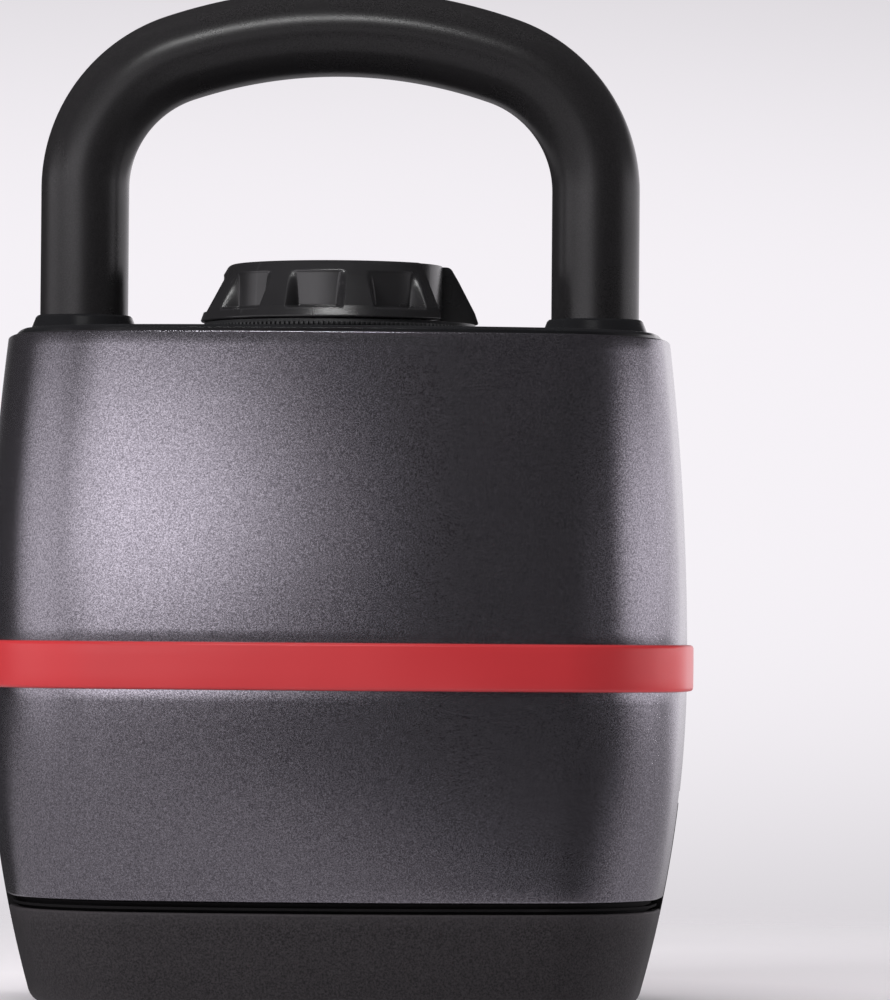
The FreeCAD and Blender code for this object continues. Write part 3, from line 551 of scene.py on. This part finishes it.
def rounded_ears(low, high):
    """Both ears' upright outlines, with round upper corners, through the whole tray."""
    reach = HALF_WIDTH + 10 * MM
    outline = rounded([(-EAR_HALF, low, 0), (EAR_HALF, low, 0), (EAR_HALF, high + 1 * MM, 3 * MM),
                       (-EAR_HALF, high + 1 * MM, 3 * MM)])
    rings = [np.array([(x, y, z) for y, z in outline]) for x in (-reach, reach)]
    return skin("ear_outline", rings, closed=False)


# ---------------------------------------------------------------- cover, collars and handle

def make_cover():
    low, high = bottom("top_cover"), top("top_cover")
    cover = oval_piece("lid", [(low, -MIDDLE, 0), (low, -2.3 * MM, 0.3 * MM),
                               (high - 0.9 * MM, -2.3 * MM, 0.3 * MM), (high, -3.0 * MM, 0.5 * MM),
                               (high, -MIDDLE, 0)], closed=False)
    spots = [(x, 0, TUBE_RADIUS + 0.3 * MM) for x in (-LEG_X, LEG_X)] + [(0, 0, 9 * MM)]
    settle(shape_with(cover, bores(spots, low - 5 * MM, high + 5 * MM)), "kettlebell",
           "black_gloss", COVER_BLACK, "top_cover")


def make_collars():
    low, high = bottom("left_collar"), top("left_collar")
    bore = TUBE_RADIUS + 0.3 * MM
    for name, x in (("left_collar", LEG_X), ("right_collar", -LEG_X)):
        collar = turned_piece(name + "_ring", [
            (bore, low, 0), (17.4 * MM, low, 0.2 * MM), (17.4 * MM, low + 0.9 * MM, 0.4 * MM),
            (16.5 * MM, low + 1.6 * MM, 1.0 * MM), (15.1 * MM, high - 0.6 * MM, 0.5 * MM),
            (14.5 * MM, high, 0.3 * MM), (bore, high, 0)], closed=True, centre=(x, 0))
        settle(collar, "kettlebell", "black_gloss", COVER_BLACK, name)


SHOULDER_BEND, ARCH_BEND = 43.3 * MM, 157 * MM


def make_handle():
    """The bent tube: upright legs, a tight bend at each shoulder and one wide arch."""
    shoulder, arch = SHOULDER_BEND, ARCH_BEND
    foot, apex = bottom("handle_tube"), top("handle_tube") - TUBE_RADIUS
    leg = abs(LEG_X)
    lean = math.asin((leg - shoulder) / (arch - shoulder))
    arch_z = apex - arch
    bend_z = arch_z + (arch - shoulder) * math.cos(lean)
    line = [(leg, z, 0.0) for z in np.linspace(foot, bend_z, 12, endpoint=False)]
    line += [(leg - shoulder + shoulder * math.cos(t), bend_z + shoulder * math.sin(t), t)
             for t in np.linspace(0, math.pi / 2 - lean, 30, endpoint=False)]
    line += [(arch * math.sin(t), arch_z + arch * math.cos(t), math.pi / 2 - t)
             for t in np.linspace(lean, 0, 16, endpoint=False)]
    right = line + [(0.0, apex, math.pi / 2)]
    left = [(-x, z, math.pi - turn) for x, z, turn in reversed(line)]
    around = np.linspace(0, 2 * math.pi, 96, endpoint=False)
    rings = []
    for x, z, turn in right + left:
        out = TUBE_RADIUS * np.cos(around)
        rings.append(np.column_stack([x + out * math.cos(turn), TUBE_RADIUS * np.sin(around),
                                      z + out * math.sin(turn)]))
    settle(skin("handle", rings, closed=False), "kettlebell", "handle_steel", HANDLE_COAT,
           "handle_tube")


# ---------------------------------------------------------------- dial

WINDOW = math.radians(69.5 - 90)
WINDOW_HALF = math.radians(23.0)
WINDOW_WALL = 32 * MM
FLUTE_FIRST, FLUTE_STEP = math.radians(43), math.radians(37.5)
FLUTE_HALF, FLUTE_FLOOR = 9.5 * MM, 36.3 * MM
FLUTE_LOW, FLUTE_HIGH = 215.9 * MM, 228.2 * MM


def ease(value, low, high):
    t = np.clip((value - low) / (high - low), 0, 1)
    return t * t * (3 - 2 * t)


def wrap(angle):
    return (angle + math.pi) % (2 * math.pi) - math.pi


def make_dial():
    """The dial: a cone with upright-floored flutes and one window cut back to a wall."""
    low, high = bottom("dial"), top("dial")
    cavity, hub_low = 27 * MM, low + 12 * MM
    profile = rounded([
        (cavity, hub_low, 0), (cavity, low, 0.4 * MM), (43.7 * MM, low, 0.5 * MM),
        (42.4 * MM, low + 3.7 * MM, 2 * MM), (37.3 * MM, low + 13.4 * MM, 8 * MM),
        (34.6 * MM, high, 2.2 * MM), (21.4 * MM, high, 0.6 * MM),
        (20.4 * MM, high - 1.2 * MM, 0.3 * MM),
        (20.1 * MM, high - 1.7 * MM, 0)], longest=0.35 * MM, closed=False)
    angles = np.linspace(0, 2 * math.pi, 1800, endpoint=False)
    rings = []
    for radius, level in profile:
        depth = np.zeros_like(angles)
        for side in (-1, 1):
            for number in range(4):
                centre = WINDOW + side * (FLUTE_FIRST + number * FLUTE_STEP)
                across = FLUTE_HALF - np.abs(wrap(angles - centre)) * radius
                along = (FLUTE_HIGH - FLUTE_LOW) / 2 - abs(level - (FLUTE_HIGH + FLUTE_LOW) / 2)
                floor = FLUTE_FLOOR + 0.05 * (FLUTE_HIGH - level)
                slope = ease(across, 0, 3.0 * MM) * ease(along, 0, 1.0 * MM)
                depth = np.maximum(depth, max(radius - floor, 0) * slope)
        here = np.full_like(angles, radius)
        if radius > cavity + 1 * MM:
            here -= depth
            gap = (np.abs(wrap(angles - WINDOW)) - WINDOW_HALF) * radius
            here -= ease(-gap, -0.3 * MM, 0.5 * MM) * np.maximum(here - WINDOW_WALL, 0)
        rings.append(np.column_stack([here * np.cos(angles), here * np.sin(angles),
                                      np.full_like(angles, level)]))
    settle(skin("weight_dial", rings, closed=False), "selector", "dial_black", DIAL_BLACK, "dial",
           angle=50)


RING_TEETH, TOOTH_DEPTH = 176, 0.75 * MM
NUMBER_RADIUS, NUMBER_SIZE = 37.6 * MM, 8.5 * MM


def make_number_ring():
    """The fixed ring under the dial, with a toothed flange just below its top."""
    low, high = bottom("number_ring"), top("number_ring")
    bore = 28 * MM
    angles = np.linspace(0, 2 * math.pi, RING_TEETH * 10, endpoint=False)
    tooth = 0.5 - 0.5 * np.cos(angles * RING_TEETH)
    rings = []
    flange = high - 1.0 * MM
    for radius, level in rounded([(bore, low, 0), (42.6 * MM, low, 0), (42.6 * MM, flange - MM, 0),
                                  (43.9 * MM, flange - MM, 0.2 * MM), (43.9 * MM, flange, 0.2 * MM),
                                  (42.6 * MM, flange, 0), (42.4 * MM, high, 0), (bore, high, 0)],
                                 longest=0.5 * MM):
        bite = TOOTH_DEPTH * ease(radius, 42.7 * MM, 43.2 * MM)
        here = radius - bite * (1 - ease(tooth, 0.25, 0.6))
        rings.append(np.column_stack([here * np.cos(angles), here * np.sin(angles),
                                      np.full_like(angles, level)]))
    settle(skin("toothed_ring", rings, closed=True), "kettlebell", "dial_black", RING_BLACK,
           "number_ring")


def make_numbers():
    """The six weights in pounds, flat on the ring, read through the dial's window."""
    stored, step = 2, math.radians(30)
    for place, pounds in enumerate((8, 12, 20, 25, 35, 40)):
        letters = bpy.data.curves.new(f"number_{pounds}", "FONT")
        letters.body = str(pounds)
        letters.size = NUMBER_SIZE
        letters.extrude = 0.05 * MM
        letters.align_x = letters.align_y = "CENTER"
        marker = bpy.data.objects.new(f"number_{pounds}_curve", letters)
        bpy.context.scene.collection.objects.link(marker)
        mesh = bpy.data.meshes.new_from_object(
            marker.evaluated_get(bpy.context.evaluated_depsgraph_get()))
        bpy.data.objects.remove(marker)
        number = bpy.data.objects.new(f"number_{pounds}", mesh)
        bpy.context.scene.collection.objects.link(number)
        angle = WINDOW - step * (place - stored)
        turn = Matrix.Rotation(angle + math.pi / 2, 4, "Z")
        spot = Matrix.Translation((NUMBER_RADIUS * math.cos(angle),
                                   NUMBER_RADIUS * math.sin(angle),
                                   top("number_ring") + 0.06 * MM))
        mesh.transform(spot @ turn)
        settle(number, "kettlebell", "dial_black", PAINT)


# ---------------------------------------------------------------- stage, light and camera

def make_stage():
    """A pale floor that fades into the surroundings, so that no horizon shows."""
    around = 96
    angles = np.linspace(0, 2 * math.pi, around, endpoint=False)
    radii = (0.001, 0.1, 0.2, 0.4, 0.8, 1.6)
    verts = [(r * math.cos(t), r * math.sin(t), 0.0) for r in radii for t in angles]
    faces = []
    for row in range(len(radii) - 1):
        for column in range(around):
            right = (column + 1) % around
            low, high = row * around, (row + 1) * around
            faces.append((low + column, high + column, high + right, low + right))
    faces.append(tuple(range(around)))
    floor = new_piece("floor", verts, faces)
    finish = Finish("pale_floor", Roughness=0.8, Specular_IOR_Level=0.1)
    cloud = finish.noise(3, 2.0)
    finish.colour(finish.blend(cloud, (0.80, 0.765, 0.80), (0.82, 0.785, 0.82)))
    length = finish.add("ShaderNodeVectorMath", operation="LENGTH")
    finish.tree.links.new(finish.place, length.inputs[0])
    fade = finish.remap(length.outputs["Value"], 0.2, 0.75, 1.0, 0.0)
    finish.tree.links.new(fade, finish.shader.inputs["Alpha"])
    floor.data.materials.append(finish.material)
    floor.visible_glossy = False


def toward(azimuth, elevation):
    """A squashed direction from the object. Azimuth 0 is the front, -Y, and 90 the right, +X."""
    a = math.radians(azimuth)
    rise = SQUASH * math.tan(math.radians(elevation))
    return Vector((math.sin(a), -math.cos(a), rise)).normalized()


# Soft patches of the studio round the object: azimuth, elevation, inner and outer angle, light.
# They are wide and low, because elevations count SQUASH times in their angles.
SQUASH = 4.5
GLOWS = (
    (-34, 6, 6, 30, 1.95),
    (-13, 5, 3, 22, 0.65),
    (-82, 4, 10, 36, 1.10),
    (-72, -16, 38, 56, 0.28),
    (60, 2, 5, 30, 0.10),
    (97, 3, 9, 34, 1.25),
    (152, 4, 18, 42, 1.05),
    (135, -12.5, 25, 54, 0.35),
)
DIM = 0.03                    # light of the studio between the patches
PALE = 0.67                   # light of the backdrop away from its own patch
BACKDROP = (181, 1.6, 2, 22, 0.25)
TINT = (1.0, 0.965, 1.01, 1.0)


def make_surroundings():
    """A dim studio with soft bright patches, which the camera itself sees as one pale backdrop."""
    world = bpy.data.worlds.new("studio")
    bpy.context.scene.world = world
    world.use_nodes = True
    tree = world.node_tree
    tree.nodes.clear()
    place = tree.nodes.new("ShaderNodeTexCoord").outputs["Generated"]
    for operation, factors in (("MULTIPLY", (1, 1, SQUASH)), ("NORMALIZE", (0, 0, 0))):
        step = tree.nodes.new("ShaderNodeVectorMath")
        step.operation = operation
        step.inputs[1].default_value = factors
        tree.links.new(place, step.inputs[0])
        place = step.outputs["Vector"]

    def patch(azimuth, elevation, inner, outer, strength):
        along = tree.nodes.new("ShaderNodeVectorMath")
        along.operation = "DOT_PRODUCT"
        along.inputs[1].default_value = toward(azimuth, elevation)
        tree.links.new(place, along.inputs[0])
        fade = tree.nodes.new("ShaderNodeMapRange")
        fade.interpolation_type = "SMOOTHSTEP"
        fade.inputs["From Min"].default_value = math.cos(math.radians(outer))
        fade.inputs["From Max"].default_value = math.cos(math.radians(inner))
        fade.inputs["To Max"].default_value = strength
        tree.links.new(along.outputs["Value"], fade.inputs["Value"])
        return fade.outputs["Result"]

    def background(base, patches):
        total = None
        for glow in patches:
            add = tree.nodes.new("ShaderNodeMath")
            add.inputs[0].default_value = base
            if total:
                tree.links.new(total, add.inputs[0])
            tree.links.new(patch(*glow), add.inputs[1])
            total = add.outputs["Value"]
        shade = tree.nodes.new("ShaderNodeBackground")
        shade.inputs["Color"].default_value = TINT
        tree.links.new(total, shade.inputs["Strength"])
        return shade.outputs["Background"]

    seen = tree.nodes.new("ShaderNodeLightPath").outputs["Is Camera Ray"]
    either = tree.nodes.new("ShaderNodeMixShader")
    tree.links.new(seen, either.inputs["Fac"])
    tree.links.new(background(DIM, GLOWS), either.inputs[1])
    tree.links.new(background(PALE, [BACKDROP]), either.inputs[2])
    output = tree.nodes.new("ShaderNodeOutputWorld")
    tree.links.new(either.outputs["Shader"], output.inputs["Surface"])


def soft_box(name, place, aim, width, height, power, mirrored=False):
    lamp = bpy.data.lights.new(name, "AREA")
    lamp.shape = "RECTANGLE"
    lamp.size, lamp.size_y = width, height
    lamp.energy = power
    light = bpy.data.objects.new(name, lamp)
    light.location = place
    light.visible_glossy = mirrored
    light.rotation_euler = (Vector(aim) - Vector(place)).to_track_quat("-Z", "Y").to_euler()
    bpy.context.scene.collection.objects.link(light)


def make_lights():
    middle = (0, 0, 0.16)
    soft_box("key_left", (-1.3, -1.1, 1.0), middle, 0.7, 0.7, 23)
    soft_box("rim_right", (1.2, 0.45, 0.10), middle, 0.5, 0.3, 14)
    soft_box("overhead", (0.0, 0.2, 1.7), middle, 1.8, 1.4, 25)
    soft_box("streak", (-0.15, -1.10, 1.08), middle, 0.6, 0.10, 3.5, mirrored=True)


def make_camera():
    """Almost straight on, at half the object's height, from far enough for a flat view."""
    lens_data = bpy.data.cameras.new("camera")
    lens_data.lens = 230.0
    lens_data.sensor_width = 36.0
    camera = bpy.data.objects.new("camera", lens_data)
    camera.location = (0.0, -2.0, 0.118)
    aim = Vector((0.0334, 0.0, 0.1580))
    turn = (aim - camera.location).to_track_quat("-Z", "Y").to_matrix().to_4x4()
    roll = Matrix.Rotation(math.radians(0.45), 4, "Z")
    camera.matrix_world = Matrix.Translation(camera.location) @ turn @ roll
    bpy.context.scene.collection.objects.link(camera)
    bpy.context.scene.camera = camera


dress_cad()
make_upper_shell()
make_lower_shell()
make_band()
make_tray()
make_cover()
make_collars()
make_handle()
make_dial()
make_number_ring()
make_numbers()
make_stage()
make_surroundings()
make_lights()
make_camera()

bpy.context.scene.view_settings.view_transform = "Standard"
